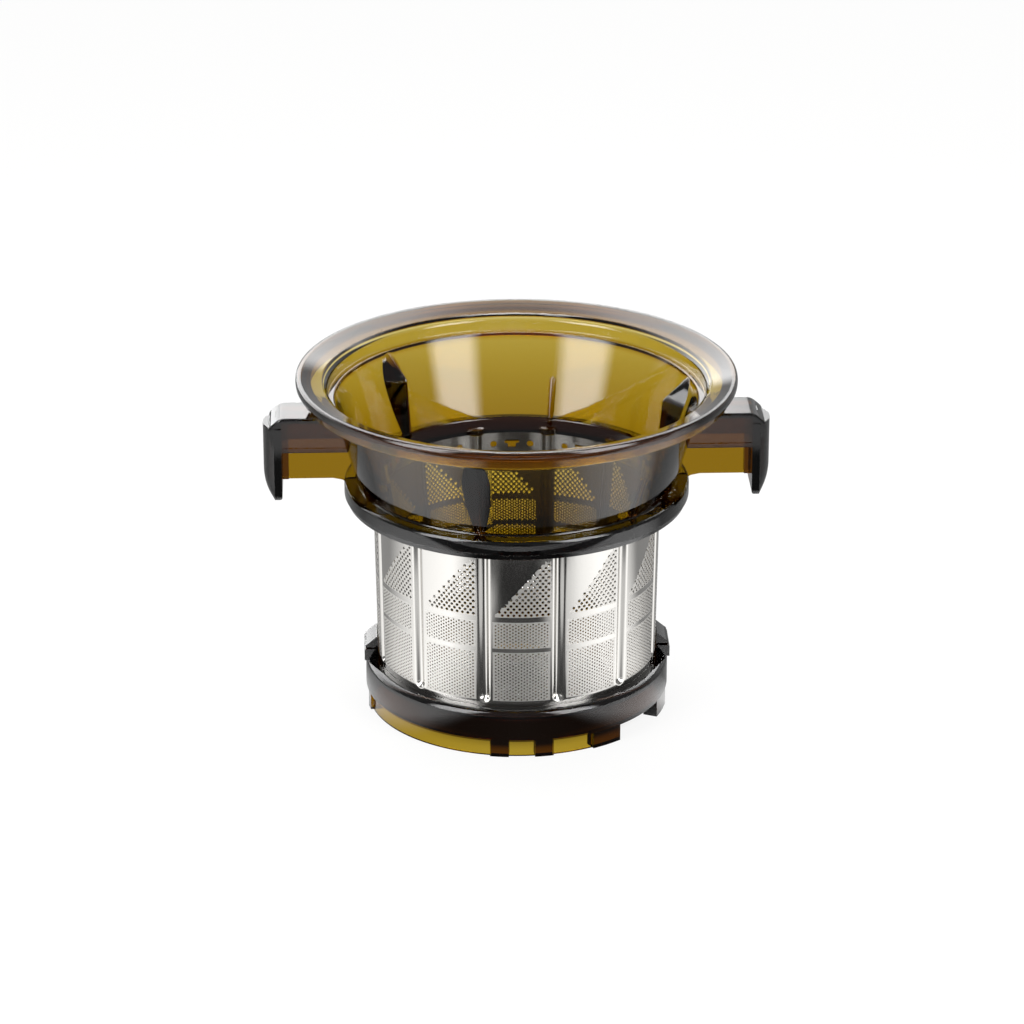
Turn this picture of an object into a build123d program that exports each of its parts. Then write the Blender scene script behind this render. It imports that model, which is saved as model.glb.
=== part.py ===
from build123d import *
from math import atan2, cos, degrees, radians, sin
import os

# Strainer of a slow juicer, in millimetres.
# The origin is the centre of the bottom, +Z is up along the axis, and the two handles lie on X.

# Screen: a thin perforated sheet sleeve with pressed beads
screen_height = 60.2
screen_top_radius = 45.5
screen_taper = 1.1
sheet = 0.5
panel_count = 12
bead_width = 3.3
bead_depth = 1.2
bead_foot = 4.6
hole_size = 1.2
hole_pitch = 7.2
hole_row_pitch = 6.6
hole_rows = (3, 2, 1)
hole_margin = 1.6
hole_bottom_drop = 25.8
window_drop = 3.8
window_height = 2.6
window_width = 4.8
window_stem = 2.6

# Base ring: ledge, outer wall, lower skirt with teeth, floor with a shaft boss
base_radius = 48.4
base_wall_height = 10.3
base_edge_round = 2.0
screen_seat_depth = 3.1
base_inner_wall = 2.0
base_wall = 4.6
skirt_height = 5.2
skirt_wall = 1.4
skirt_recess = 0.9
skirt_start = -80.0
skirt_end = 40.5
tooth_centre = 8.4
tooth_width = 7.0
end_tooth_width = 12.5
block_start = 65.5
block_end = 78.0
floor_thickness = 2.5
floor_drop = 1.6
boss_radius = 17.0
boss_bore = 13.0
boss_rise = 4.0
outlet_inner = 21.5
outlet_outer = 38.5
outlet_angle = 52.0
outlet_rim = 1.8
lug_width = 12.5
lug_reach = 0.6
lug_height = 3.3
lug_step = 0.7
gusset_rise = 4.2
gusset_fall = 3.2

# Collar and funnel of the hopper moulding
collar_grip = 6.1
collar_hub_wall = 2.6
collar_height = 6.6
collar_drop = 3.6
collar_wall = 9.0
collar_bevel = 1.2
throat_wall = 3.0
throat_rise = 3.6
cap_margin = 0.6
cap_rise = 1.9
funnel_wall = 1.9
funnel_rise = 26.8
mouth_radius = 57.2
lip_step = 2.1
lip_height = 3.6
flange_roll = 1.9
flange_width = 7.0
flange_rise = 2.3
rim_bead = 1.1
rim_bead_height = 3.0
rim_skirt_drop = 6.1
rim_skirt_wall = 1.5
rim_skirt_draw = 2.1

# Crush ribs on the funnel wall
blade_count = 3
blade_angle = 15.0
blade_reach = 6.0
blade_width = 9.0
blade_foot = 3.2
blade_ridge = 1.2
blade_foot_reach = 2.0
blade_peak = 0.35
rib_sink = 0.9
low_rib_width = 2.6
low_rib_reach = 1.7
low_rib_length = 13.0

# Handles: a channel with a hanging finger tab and a middle web
handle_reach = 79.8
hood_width = 16.0
hood_below_rim = 12.0
hood_depth = 11.2
hood_wall = 2.0
hood_corner = 3.4
tab_drop = 27.4
tab_edge = 2.4
tab_bulge = 3.5
tab_pad_height = 9.0
web_thickness = 2.2
web_drop = 22.5
post_width = 2.0
post_depth = 4.4

# Levels and radii that follow from the sizes above
ledge_z = skirt_height + base_wall_height
screen_bottom = ledge_z - screen_seat_depth
screen_top = screen_bottom + screen_height
screen_bottom_radius = screen_top_radius - screen_taper
collar_bottom = screen_top - collar_drop
collar_top = collar_bottom + collar_height
collar_radius = screen_top_radius + collar_wall
hub_bottom = screen_top - collar_grip
throat_radius = screen_top_radius + throat_wall
throat_z = screen_top + throat_rise
mouth_z = throat_z + funnel_rise
lip_radius = mouth_radius + lip_step
lip_top = mouth_z + lip_height
flange_in = lip_radius + flange_roll
flange_out = flange_in + flange_width
flange_in_z = lip_top + flange_roll * 0.8
rim_top = flange_in_z + flange_rise
rim_radius = flange_out + rim_bead
hood_top = rim_top - hood_below_rim
hood_bottom = hood_top - hood_depth
tab_bottom = hood_top - tab_drop
web_bottom = hood_top - web_drop
panel_angle = 360 / panel_count
bead_radius = ((bead_width / 2) ** 2 + bead_depth**2) / (2 * bead_depth)
bead_bottom = ledge_z + (bead_foot - screen_seat_depth)


def revolved(points):
    """Solid turned about Z from a closed outline of (radius, height) points."""
    return revolve(Plane.XZ * make_face(Polyline(*points, close=True)), axis=Axis.Z)


def screen_radius(z):
    """Outer radius of the tapered sleeve at a height."""
    return screen_bottom_radius + screen_taper * (z - screen_bottom) / screen_height


def bead_tools(radius, bottom, top):
    """Rods that press the beads, parallel to the sleeve's wall and sunk by the bead's depth."""
    offset = bead_radius - bead_depth
    tilt = degrees(atan2(screen_taper, screen_height))
    rods = []
    for index in range(panel_count):
        angle = (index + 0.5) * panel_angle
        rod = Cylinder(radius, top - bottom, align=(Align.CENTER, Align.CENTER, Align.MIN))
        rod = Pos(screen_radius(bottom) + offset, 0, bottom) * (Rot(0, tilt, 0) * rod)
        rods.append(Rot(0, 0, angle) * rod)
    return rods


def screen_envelope(inset, bottom, top):
    """Filled body of the sleeve, inset by the sheet for its inside, with the beads pressed in."""
    body = revolved([
        (0, bottom),
        (screen_radius(bottom) - inset, bottom),
        (screen_radius(top) - inset, top),
        (0, top),
    ])
    return body - bead_tools(bead_radius + inset, bead_bottom - inset, top + 1)


def sector(inner, outer, bottom, height, start, end):
    """Part of a ring between two angles, measured from the front (-Y) towards +X."""
    ring = revolve(
        Plane.XZ * (Pos((inner + outer) / 2, bottom + height / 2) * Rectangle(outer - inner, height)),
        axis=Axis.Z,
        revolution_arc=end - start,
    )
    return Rot(0, 0, start - 90) * ring


def panel_openings(bottom, height, slide, width):
    """The same opening through the sleeve's wall in every panel, slid along the wall from its middle."""
    radius = screen_radius(bottom)
    start = degrees((slide - width / 2) / radius)
    end = degrees((slide + width / 2) / radius)
    tool = sector(radius - bead_width, radius + bead_width, bottom, height, start, end)
    return [Rot(0, 0, index * panel_angle) * tool for index in range(panel_count)]


def strainer_holes():
    """Coarse holes in a stepped triangle whose upright side stands beside a bead."""
    half_panel = screen_top_radius * radians(panel_angle) / 2 - bead_width / 2
    tools = []
    for row, count in enumerate(hole_rows):
        bottom = screen_top - hole_bottom_drop + row * hole_row_pitch
        for column in range(count):
            slide = half_panel - hole_margin - column * hole_pitch
            tools += panel_openings(bottom, hole_size, slide, hole_size)
    return tools


def anchor_windows():
    """A T window in each panel, where the collar grips the sheet."""
    middle = screen_top - window_drop
    half = window_height / 2
    return panel_openings(middle, half, 0, window_width) + panel_openings(middle - half, half, 0, window_stem)


def make_screen():
    """The perforated sleeve."""
    outside = screen_envelope(0, screen_bottom, screen_top)
    inside = screen_envelope(sheet, screen_bottom - 1, screen_top + 1)
    return outside - inside - anchor_windows() - strainer_holes()


def make_funnel():
    """Rim, flange, lip, funnel wall, throat ledge and collar, turned in one outline."""
    return revolved([
        (screen_top_radius - bead_depth - sheet - 1, hub_bottom),
        (screen_radius(hub_bottom) + collar_hub_wall, hub_bottom),
        (screen_radius(hub_bottom) + collar_hub_wall, collar_bottom),
        (collar_radius - collar_bevel, collar_bottom),
        (collar_radius, collar_bottom + collar_bevel),
        (collar_radius, collar_top),
        (throat_radius + funnel_wall, collar_top),
        (mouth_radius + funnel_wall / 3, mouth_z - funnel_wall),
        (lip_radius + funnel_wall, mouth_z - funnel_wall / 2),
        (lip_radius + funnel_wall, flange_in_z - funnel_wall),
        (rim_radius - rim_skirt_draw - rim_skirt_wall, rim_top - rim_bead_height),
        (rim_radius - rim_skirt_draw - rim_skirt_wall, rim_top - rim_skirt_drop),
        (rim_radius - rim_skirt_draw, rim_top - rim_skirt_drop),
        (rim_radius - rim_bead, rim_top - rim_bead_height),
        (rim_radius, rim_top - rim_bead_height / 2),
        (flange_out, rim_top),
        (flange_in, flange_in_z),
        (lip_radius, lip_top),
        (lip_radius, mouth_z),
        (mouth_radius, mouth_z),
        (throat_radius, throat_z),
        (screen_top_radius - sheet, screen_top),
        (screen_top_radius - bead_depth - sheet - 1, screen_top),
    ])


def bead_caps():
    """Small arches of plastic that close the top end of each bead under the throat ledge."""
    radius = bead_radius + sheet + cap_margin
    caps = bead_tools(radius, screen_top, screen_top + cap_rise)
    limit = revolved([
        (0, screen_top),
        (throat_radius + funnel_wall, screen_top),
        (throat_radius + funnel_wall, throat_z),
        (0, throat_z),
    ])
    return [cap & limit for cap in caps]


def wall_frame(angle):
    """Frame on the funnel's inner wall: x points inward, y runs up the wall from the throat."""
    run = mouth_radius - throat_radius
    length = (run**2 + funnel_rise**2) ** 0.5
    inward = (-funnel_rise / length, 0, run / length)
    frame = Plane((throat_radius, 0, throat_z), x_dir=inward, z_dir=(0, 1, 0))
    return Rot(0, 0, angle) * frame.location, length


def make_blade(angle):
    """Crush blade: a shark fin that tapers to the throat, wide at its root and thin at its ridge."""
    place, length = wall_frame(angle)
    top = length - rib_sink
    peak = length * (1 - blade_peak)
    root = funnel_wall / 2
    side = make_face(Polyline(
        (-root, -rib_sink), (blade_foot_reach, -rib_sink), (blade_reach, peak), (0, top), (-root, top),
        close=True,
    ))
    sides = Polyline(
        (-blade_width / 2, peak),
        (-blade_foot / 2, -rib_sink),
        (blade_foot / 2, -rib_sink),
        (blade_width / 2, peak),
    )
    front = make_face(sides + ThreePointArc((blade_width / 2, peak), (0, top), (-blade_width / 2, peak)))
    section = make_face(Polyline(
        (-root, -blade_width / 2),
        (0, -blade_width / 2),
        (blade_reach, -blade_ridge / 2),
        (blade_reach, blade_ridge / 2),
        (0, blade_width / 2),
        (-root, blade_width / 2),
        close=True,
    ))
    facing = Plane((0, 0, 0), x_dir=(0, 0, 1), z_dir=(-1, 0, 0))
    fin = extrude(side, amount=blade_width, both=True)
    fin = fin & (facing * extrude(front, amount=2 * blade_reach, both=True))
    fin = fin & (Plane.XZ * extrude(section, amount=length, both=True))
    return place * fin


def make_low_rib(angle):
    """Low rib at the foot of the funnel wall, midway between two blades."""
    place, _ = wall_frame(angle)
    root = funnel_wall / 2
    side = make_face(Polyline(
        (-root, -rib_sink),
        (low_rib_reach, -rib_sink),
        (low_rib_reach * 0.6, low_rib_length),
        (-root, low_rib_length + low_rib_reach),
        close=True,
    ))
    return place * extrude(side, amount=low_rib_width / 2, both=True)


def tab_outline():
    """Plan of the finger tab: flat inside, bulging outside."""
    edge = handle_reach - tab_bulge
    half = hood_width / 2
    lines = Polyline((edge, -half), (edge - tab_edge, -half), (edge - tab_edge, half), (edge, half))
    return make_face(lines + ThreePointArc((edge, half), (handle_reach, 0), (edge, -half)))


def make_handle(core_radius):
    """One handle on +X: channel, hanging tab with a pad, middle web and post."""
    edge = handle_reach - tab_bulge
    inner = edge - tab_edge
    half = hood_width / 2
    root = collar_radius - funnel_wall

    hood_side = make_face(Polyline(
        (root, hood_bottom),
        (edge, hood_bottom),
        (handle_reach - hood_corner * 0.6, hood_top - hood_corner),
        (handle_reach - hood_corner * 1.6, hood_top),
        (root, hood_top),
        close=True,
    ))
    hood = Plane.XZ * extrude(hood_side, amount=half, both=True)
    channel = Pos((root + inner) / 2, 0, hood_bottom) * Box(
        inner - root,
        hood_width - 2 * hood_wall,
        2 * (hood_depth - hood_wall),
    )

    tab = Pos(0, 0, tab_bottom) * extrude(tab_outline(), amount=tab_drop - hood_corner)
    pad_side = make_face(
        Polyline((handle_reach, tab_bottom + tab_pad_height), (handle_reach + 1, tab_bottom + tab_pad_height),
                 (handle_reach + 1, tab_bottom - 1), (edge, tab_bottom - 1), (edge, tab_bottom))
        + ThreePointArc((edge, tab_bottom), (handle_reach - tab_bulge * 0.3, tab_bottom + tab_pad_height * 0.45),
                        (handle_reach, tab_bottom + tab_pad_height))
    )
    tab = tab - (Plane.XZ * extrude(pad_side, amount=half + 1, both=True))

    web_side = make_face(Polyline(
        (core_radius, hood_top - hood_wall),
        (core_radius, collar_top - collar_bevel),
        (collar_radius - collar_bevel, collar_top - collar_bevel),
        (collar_radius + 0.2, collar_top),
        (collar_radius + 2.4, web_bottom),
        (inner + tab_edge / 2, web_bottom),
        (inner + tab_edge / 2, hood_top - hood_wall),
        close=True,
    ))
    web = Plane.XZ * extrude(web_side, amount=web_thickness / 2, both=True)
    post = Pos(inner - post_width / 2, 0, (web_bottom + hood_top - hood_wall) / 2) * Box(
        post_width, post_depth, hood_top - hood_wall - web_bottom
    )
    return (hood - channel) + tab + web + post


def make_hopper(screen):
    """Funnel, handles, ribs and collar as one moulding, cast round the top of the screen."""
    body = make_funnel()
    bowl = revolved([
        (0, screen_top),
        (throat_radius + funnel_wall / 2, screen_top),
        (throat_radius + funnel_wall / 2, throat_z),
        (mouth_radius + funnel_wall / 2, mouth_z),
        (mouth_radius + funnel_wall / 2, rim_top + 1),
        (0, rim_top + 1),
    ])
    handle = make_handle(throat_radius) - bowl
    body = body + [handle, Rot(0, 0, 180) * handle]
    ribs = [make_blade(blade_angle + index * 360 / blade_count) for index in range(blade_count)]
    ribs += [make_low_rib(blade_angle + (index + 0.5) * 360 / blade_count) for index in range(blade_count)]
    body = body + ribs + bead_caps()
    inside = screen_envelope(sheet, hub_bottom - 1, screen_top)
    return body - inside - screen


def base_skirt():
    """Lower skirt with flush teeth between recessed windows, on two opposite sides."""
    outer = base_radius - skirt_recess
    inner = outer - skirt_wall
    band = sector(inner, outer, 0, skirt_height, skirt_start, skirt_end)
    spans = [
        (-tooth_centre - tooth_width / 2, -tooth_centre + tooth_width / 2),
        (tooth_centre - tooth_width / 2, tooth_centre + tooth_width / 2),
        (skirt_end - end_tooth_width, skirt_end),
        (skirt_start, skirt_start + tooth_width / 2),
        (block_start, block_end),
    ]
    root = base_radius - base_wall
    teeth = [sector(root, base_radius, 0, skirt_height, start, end) for start, end in spans]
    half = Part() + [band] + teeth
    return [half, Rot(0, 0, 180) * half]


def base_lug():
    """Stepped locating lug with a sloping top that stands on the ledge beside the screen."""
    inner = screen_bottom_radius - sheet
    outer = base_radius + lug_reach
    step = ledge_z + lug_height
    foot = Pos((inner + outer) / 2, 0, ledge_z + lug_height / 2) * Box(outer - inner, lug_width, lug_height)
    shape = make_face(Polyline(
        (inner, step),
        (outer - lug_step / 2, step),
        (outer - lug_step / 2, step + gusset_rise - gusset_fall),
        (inner, step + gusset_rise),
        close=True,
    ))
    gusset = Plane.XZ * extrude(shape, amount=lug_width / 2 - lug_step, both=True)
    lug = (foot + gusset) & Cylinder(outer, 4 * ledge_z)
    return [lug, Rot(0, 0, 180) * lug]


def make_base(screen):
    """Base ring with its ledge, floor, shaft boss, pulp outlet, lugs and toothed skirt."""
    inner = screen_bottom_radius - sheet - base_inner_wall
    floor_top = ledge_z - floor_drop
    floor_bottom = floor_top - floor_thickness
    body = revolved([
        (boss_bore, floor_bottom),
        (base_radius - base_wall, floor_bottom),
        (base_radius - base_wall, skirt_height),
        (base_radius, skirt_height),
        (base_radius, ledge_z - base_edge_round),
        (base_radius - base_edge_round * 0.3, ledge_z - base_edge_round * 0.3),
        (base_radius - base_edge_round, ledge_z),
        (inner, ledge_z),
        (inner, floor_top),
        (boss_radius, floor_top),
        (boss_radius, floor_top + boss_rise),
        (boss_bore, floor_top + boss_rise),
    ])
    body = body + base_skirt()
    rim = sector(
        outlet_inner - outlet_rim,
        outlet_outer + outlet_rim,
        skirt_height - skirt_height / 2,
        floor_bottom - skirt_height / 2 + 0.5,
        -outlet_angle / 2 - outlet_rim * 2,
        outlet_angle / 2 + outlet_rim * 2,
    )
    outlet = sector(outlet_inner, outlet_outer, -1, ledge_z + 1, -outlet_angle / 2, outlet_angle / 2)
    body = body + (Rot(0, 0, 180) * rim) - (Rot(0, 0, 180) * outlet)
    column = screen_envelope(sheet, screen_bottom, ledge_z + lug_height + gusset_rise + 1)
    lugs = [lug - column for lug in base_lug()]
    return body + lugs - screen


def main():
    """Builds the three pieces and writes one STEP file each."""
    os.makedirs("parts", exist_ok=True)
    screen = make_screen()
    pieces = {"screen": screen, "hopper": make_hopper(screen), "base": make_base(screen)}
    for name, piece in pieces.items():
        export_step(Part(piece.solids()[0].wrapped) if len(piece.solids()) == 1 else piece,
                    "parts/" + name + ".step")
        print(name, len(piece.solids()), round(piece.volume), piece.bounding_box().size)


main()
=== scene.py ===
"""Looks of a slow juicer's strainer: see-through amber hopper, perforated steel screen and base ring."""

import logging
import math
from dataclasses import dataclass
from enum import Enum, IntEnum

import bmesh
import bpy
from mathutils import Matrix, Vector
from mathutils.geometry import delaunay_2d_cdt

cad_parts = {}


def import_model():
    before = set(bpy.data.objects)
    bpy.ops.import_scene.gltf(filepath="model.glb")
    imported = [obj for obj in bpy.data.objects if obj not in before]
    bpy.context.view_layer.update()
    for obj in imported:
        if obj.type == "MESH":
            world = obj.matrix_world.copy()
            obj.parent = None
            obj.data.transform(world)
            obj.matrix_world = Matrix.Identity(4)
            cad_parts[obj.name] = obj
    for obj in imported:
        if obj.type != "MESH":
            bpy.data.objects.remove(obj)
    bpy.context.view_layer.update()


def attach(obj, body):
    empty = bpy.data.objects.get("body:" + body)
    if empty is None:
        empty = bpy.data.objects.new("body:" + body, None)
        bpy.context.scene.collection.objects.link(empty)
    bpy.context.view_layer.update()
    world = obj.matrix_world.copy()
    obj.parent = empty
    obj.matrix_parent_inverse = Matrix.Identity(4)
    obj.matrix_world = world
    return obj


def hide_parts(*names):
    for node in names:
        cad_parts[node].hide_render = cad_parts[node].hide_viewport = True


log = logging.getLogger("strainer")

MM = 0.001
BODY = "root"
PHOTO_WIDTH = 1024
# Frame of the solids that are drawn as seen from the front: second axis up, pushed along Y.
UPRIGHT = Matrix(((1, 0, 0, 0), (0, 0, -1, 0), (0, 1, 0, 0), (0, 0, 0, 1)))

Point = tuple[float, float]
Outline = list[Point]


def linear(hex_colour: str) -> tuple[float, float, float, float]:
    """Turns an sRGB hex colour into linear light.

    Args:
        hex_colour: six hex digits, with or without a leading hash.

    Returns:
        Red, green, blue and alpha.
    """
    digits = hex_colour.lstrip("#")
    values = [int(digits[i : i + 2], 16) / 255 for i in (0, 2, 4)]
    light = [v / 12.92 if v <= 0.04045 else ((v + 0.055) / 1.055) ** 2.4 for v in values]
    return (light[0], light[1], light[2], 1.0)


def add_node(tree: bpy.types.NodeTree, kind: str, links: dict | None = None, **settings) -> bpy.types.Node:
    """Adds one node with its settings and links.

    Args:
        tree: node tree that takes the node.
        kind: Blender's node type.
        links: input name or number to an output socket that feeds it.
        settings: attributes of the node, or values for its inputs where it has no such attribute.

    Returns:
        The new node.
    """
    node = tree.nodes.new(kind)
    for name, value in settings.items():
        if hasattr(node, name):
            setattr(node, name, value)
        else:
            node.inputs[name.replace("_", " ")].default_value = value
    for name, socket in (links or {}).items():
        tree.links.new(socket, node.inputs[name])
    return node


def new_material(name: str) -> tuple[bpy.types.Material, bpy.types.NodeTree]:
    """Makes an empty node material.

    Args:
        name: the material's name.

    Returns:
        The material and its node tree.
    """
    material = bpy.data.materials.new(name)
    material.use_nodes = True
    material.node_tree.nodes.clear()
    return material, material.node_tree


class Colour(Enum):
    """Colours of the strainer and its studio, in sRGB."""

    AMBER_DEPTH = "#E4D722"
    AMBER_TINT = "#FFFBF2"
    STEEL = "#CFCDC9"
    STEEL_INSIDE = "#8A867E"
    TABLE = "#D8D8D6"
    WHITE = "#FFFFFF"


@dataclass(frozen=True)
class AmberPlastic:
    """Injection-moulded amber plastic: clear through, so its depth sets how dark it looks.

    Against a white ground a thin wall is yellow-brown, two walls are brown and a thick ring is near black.
    """

    name: str = "amber_polysulfone_moulded"
    depth_per_metre: float = 2450.0
    ior: float = 1.58
    roughness: float = 0.03
    ripple_mm: float = 14.0
    ripple_strength: float = 0.02

    def build(self) -> bpy.types.Material:
        """Builds the material.

        Returns:
            The material.
        """
        material, tree = new_material(self.name)
        place = add_node(tree, "ShaderNodeTexCoord")
        ripple = add_node(
            tree, "ShaderNodeTexNoise", {"Vector": place.outputs["Object"]},
            Scale=1 / (self.ripple_mm * MM), Detail=2.0, Roughness=0.45,
        )
        bump = add_node(
            tree, "ShaderNodeBump", {"Height": ripple.outputs["Fac"]},
            Strength=self.ripple_strength, Distance=MM,
        )
        surface = add_node(
            tree, "ShaderNodeBsdfPrincipled", {"Normal": bump.outputs["Normal"]},
            Base_Color=linear(Colour.AMBER_TINT.value), Roughness=self.roughness, IOR=self.ior,
            Transmission_Weight=1.0,
        )
        depth = add_node(
            tree, "ShaderNodeVolumeAbsorption",
            Color=linear(Colour.AMBER_DEPTH.value), Density=self.depth_per_metre,
        )
        add_node(
            tree, "ShaderNodeOutputMaterial",
            {"Surface": surface.outputs["BSDF"], "Volume": depth.outputs["Volume"]},
        )
        return material


@dataclass(frozen=True)
class PunchedSteel:
    """Bright stainless sheet, punched, rolled and polished, with a faint rolling grain.

    Plain sheet is a mirror for the table and the soft boxes. A punched field scatters the light, because its
    thousands of small holes have burred edges, and the unpolished inside is grey and dull. Real rolling grain
    is about 0.05 mm wide, and it is drawn 0.35 mm wide so that it shows.
    """

    name: str = "stainless_sheet_polished"
    colour: Colour = Colour.STEEL
    roughness: float = 0.12
    grain_mm: float = 0.35
    grain_stretch: float = 14.0
    grain_strength: float = 0.05

    def build(self) -> bpy.types.Material:
        """Builds the material.

        Returns:
            The material.
        """
        material, tree = new_material(self.name)
        place = add_node(tree, "ShaderNodeTexCoord")
        stretch = add_node(
            tree, "ShaderNodeMapping", {"Vector": place.outputs["Object"]},
            Scale=(1.0, 1.0, 1 / self.grain_stretch),
        )
        grain = add_node(
            tree, "ShaderNodeTexNoise", {"Vector": stretch.outputs["Vector"]},
            Scale=1 / (self.grain_mm * MM), Detail=3.0,
        )
        wear = add_node(
            tree, "ShaderNodeMapRange", {"Value": grain.outputs["Fac"]},
            To_Min=self.roughness - 0.04, To_Max=self.roughness + 0.06,
        )
        bump = add_node(
            tree, "ShaderNodeBump", {"Height": grain.outputs["Fac"]},
            Strength=self.grain_strength, Distance=0.05 * MM,
        )
        surface = add_node(
            tree, "ShaderNodeBsdfPrincipled",
            {"Roughness": wear.outputs["Result"], "Normal": bump.outputs["Normal"]},
            Base_Color=linear(self.colour.value), Metallic=1.0,
        )
        add_node(tree, "ShaderNodeOutputMaterial", {"Surface": surface.outputs["BSDF"]})
        return material


def rounded(points: list[tuple[float, float, float]], steps: int = 5) -> Outline:
    """Rounds the corners of a closed outline with arcs.

    Args:
        points: corners as (x, y, radius), in order.
        steps: straight pieces in each arc.

    Returns:
        The outline with each corner replaced by its arc.
    """
    result: Outline = []
    count = len(points)
    for index, (x, y, radius) in enumerate(points):
        corner = Vector((x, y))
        before = Vector(points[index - 1][:2]) - corner
        after = Vector(points[(index + 1) % count][:2]) - corner
        turn = before.angle(after)
        if radius <= 0 or turn > math.pi - 0.02:
            result.append((x, y))
            continue
        reach = radius / math.tan(turn / 2)
        reach = min(reach, before.length * 0.49, after.length * 0.49)
        radius = reach * math.tan(turn / 2)
        halfway = (before.normalized() + after.normalized()).normalized()
        middle = corner + halfway * (radius / math.sin(turn / 2))
        start = corner + before.normalized() * reach - middle
        end = corner + after.normalized() * reach - middle
        sweep = start.angle_signed(end)
        for step in range(steps + 1):
            angle = -sweep * step / steps
            x_turn = start.x * math.cos(angle) - start.y * math.sin(angle)
            y_turn = start.x * math.sin(angle) + start.y * math.cos(angle)
            result.append((middle.x + x_turn, middle.y + y_turn))
    return result


def lathe(outline: Outline, segments: int = 256, start: float = 0.0, end: float = 360.0) -> bmesh.types.BMesh:
    """Turns a closed (radius, height) outline about Z, in millimetres.

    Args:
        outline: closed outline.
        segments: steps in a full turn.
        start: first angle in degrees, from +X towards +Y.
        end: last angle in degrees.

    Returns:
        A closed mesh.
    """
    mesh = bmesh.new()
    full = abs(end - start) > 359.9
    steps = segments if full else max(2, round(segments * (end - start) / 360))
    rings = []
    for step in range(steps if full else steps + 1):
        angle = math.radians(start + (end - start) * step / steps)
        rings.append([mesh.verts.new((r * math.cos(angle), r * math.sin(angle), z)) for r, z in outline])
    count = len(outline)
    for step in range(steps):
        here, there = rings[step], rings[(step + 1) % len(rings)]
        for i in range(count):
            j = (i + 1) % count
            mesh.faces.new((here[i], there[i], there[j], here[j]))
    if not full:
        mesh.faces.new(rings[0])
        mesh.faces.new(rings[-1][::-1])
    bmesh.ops.recalc_face_normals(mesh, faces=mesh.faces)
    return mesh


def ring_part(radii: Point, heights: Point, angles: Point) -> bmesh.types.BMesh:
    """Turns a rectangle about Z between two angles.

    Args:
        radii: inner and outer radius in millimetres.
        heights: bottom and top.
        angles: start and end in degrees, from the front towards +X.

    Returns:
        A closed mesh.
    """
    (inner, outer), (low, high), (start, end) = radii, heights, angles
    return lathe([(inner, low), (outer, low), (outer, high), (inner, high)], 256, start - 90, end - 90)


def prism(outline: Outline, low: float, high: float, frame: Matrix = UPRIGHT) -> bmesh.types.BMesh:
    """Pushes a closed outline along the third axis of a frame.

    Args:
        outline: closed outline in the frame's first two axes, in millimetres.
        low: start of the push.
        high: end of the push.
        frame: where the outline lies.

    Returns:
        A closed mesh.
    """
    mesh = bmesh.new()
    rings = [[mesh.verts.new(frame @ Vector((x, y, z))) for x, y in outline] for z in (low, high)]
    count = len(outline)
    for i in range(count):
        j = (i + 1) % count
        mesh.faces.new((rings[0][i], rings[0][j], rings[1][j], rings[1][i]))
    mesh.faces.new(rings[0][::-1])
    mesh.faces.new(rings[1])
    bmesh.ops.recalc_face_normals(mesh, faces=mesh.faces)
    return mesh


def loft(loops: list[list[Vector]]) -> bmesh.types.BMesh:
    """Joins loops of equal length into one solid with flat ends.

    Args:
        loops: the loops, in order along the solid.

    Returns:
        A closed mesh.
    """
    mesh = bmesh.new()
    rings = [[mesh.verts.new(point) for point in loop] for loop in loops]
    count = len(rings[0])
    for here, there in zip(rings, rings[1:]):
        for i in range(count):
            j = (i + 1) % count
            mesh.faces.new((here[i], here[j], there[j], there[i]))
    mesh.faces.new(rings[0][::-1])
    mesh.faces.new(rings[-1])
    bmesh.ops.recalc_face_normals(mesh, faces=mesh.faces)
    return mesh


def inside(outline: Outline, points: list[Vector], face: tuple[int, ...]) -> bool:
    """Whether the middle of a flat face lies within a closed outline.

    Args:
        outline: closed outline.
        points: points that the face's numbers stand for.
        face: numbers of the face's corners.

    Returns:
        True where it does.
    """
    x = sum(points[v].x for v in face) / len(face)
    y = sum(points[v].y for v in face) / len(face)
    within = False
    for (ax, ay), (bx, by) in zip(outline, outline[1:] + outline[:1]):
        if (ay > y) != (by > y) and x < (bx - ax) * (y - ay) / (by - ay) + ax:
            within = not within
    return within


def spun(mesh: bmesh.types.BMesh, angle: float) -> bmesh.types.BMesh:
    """Copies a mesh and turns the copy about Z.

    Args:
        mesh: mesh that stays as it is.
        angle: turn in degrees.

    Returns:
        The turned copy.
    """
    copy = mesh.copy()
    turn = Matrix.Rotation(math.radians(angle), 3, "Z")
    bmesh.ops.rotate(copy, verts=copy.verts, cent=(0, 0, 0), matrix=turn)
    return copy


def to_object(mesh: bmesh.types.BMesh, name: str) -> bpy.types.Object:
    """Puts a mesh into the scene.

    Args:
        mesh: mesh in millimetres, which is used up.
        name: the object's name.

    Returns:
        The object, in metres.
    """
    data = bpy.data.meshes.new(name)
    bmesh.ops.scale(mesh, vec=(MM, MM, MM), verts=mesh.verts)
    mesh.to_mesh(data)
    mesh.free()
    thing = bpy.data.objects.new(name, data)
    bpy.context.scene.collection.objects.link(thing)
    return thing


class Join(Enum):
    """How one solid is worked into another."""

    ADD = "UNION"
    CUT = "DIFFERENCE"


def combine(thing: bpy.types.Object, tools: list[bmesh.types.BMesh], join: Join) -> None:
    """Works solids into an object, one after the other, and deletes them.

    Args:
        thing: object that is changed.
        tools: solids in millimetres.
        join: whether they are added or cut away.
    """
    for index, tool in enumerate(tools):
        other = to_object(tool, f"tool_{index}")
        change = thing.modifiers.new("join", "BOOLEAN")
        change.operation = join.value
        change.solver = "MANIFOLD"
        change.object = other
        apply_modifiers(thing)
        bpy.data.objects.remove(other, do_unlink=True)


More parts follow.
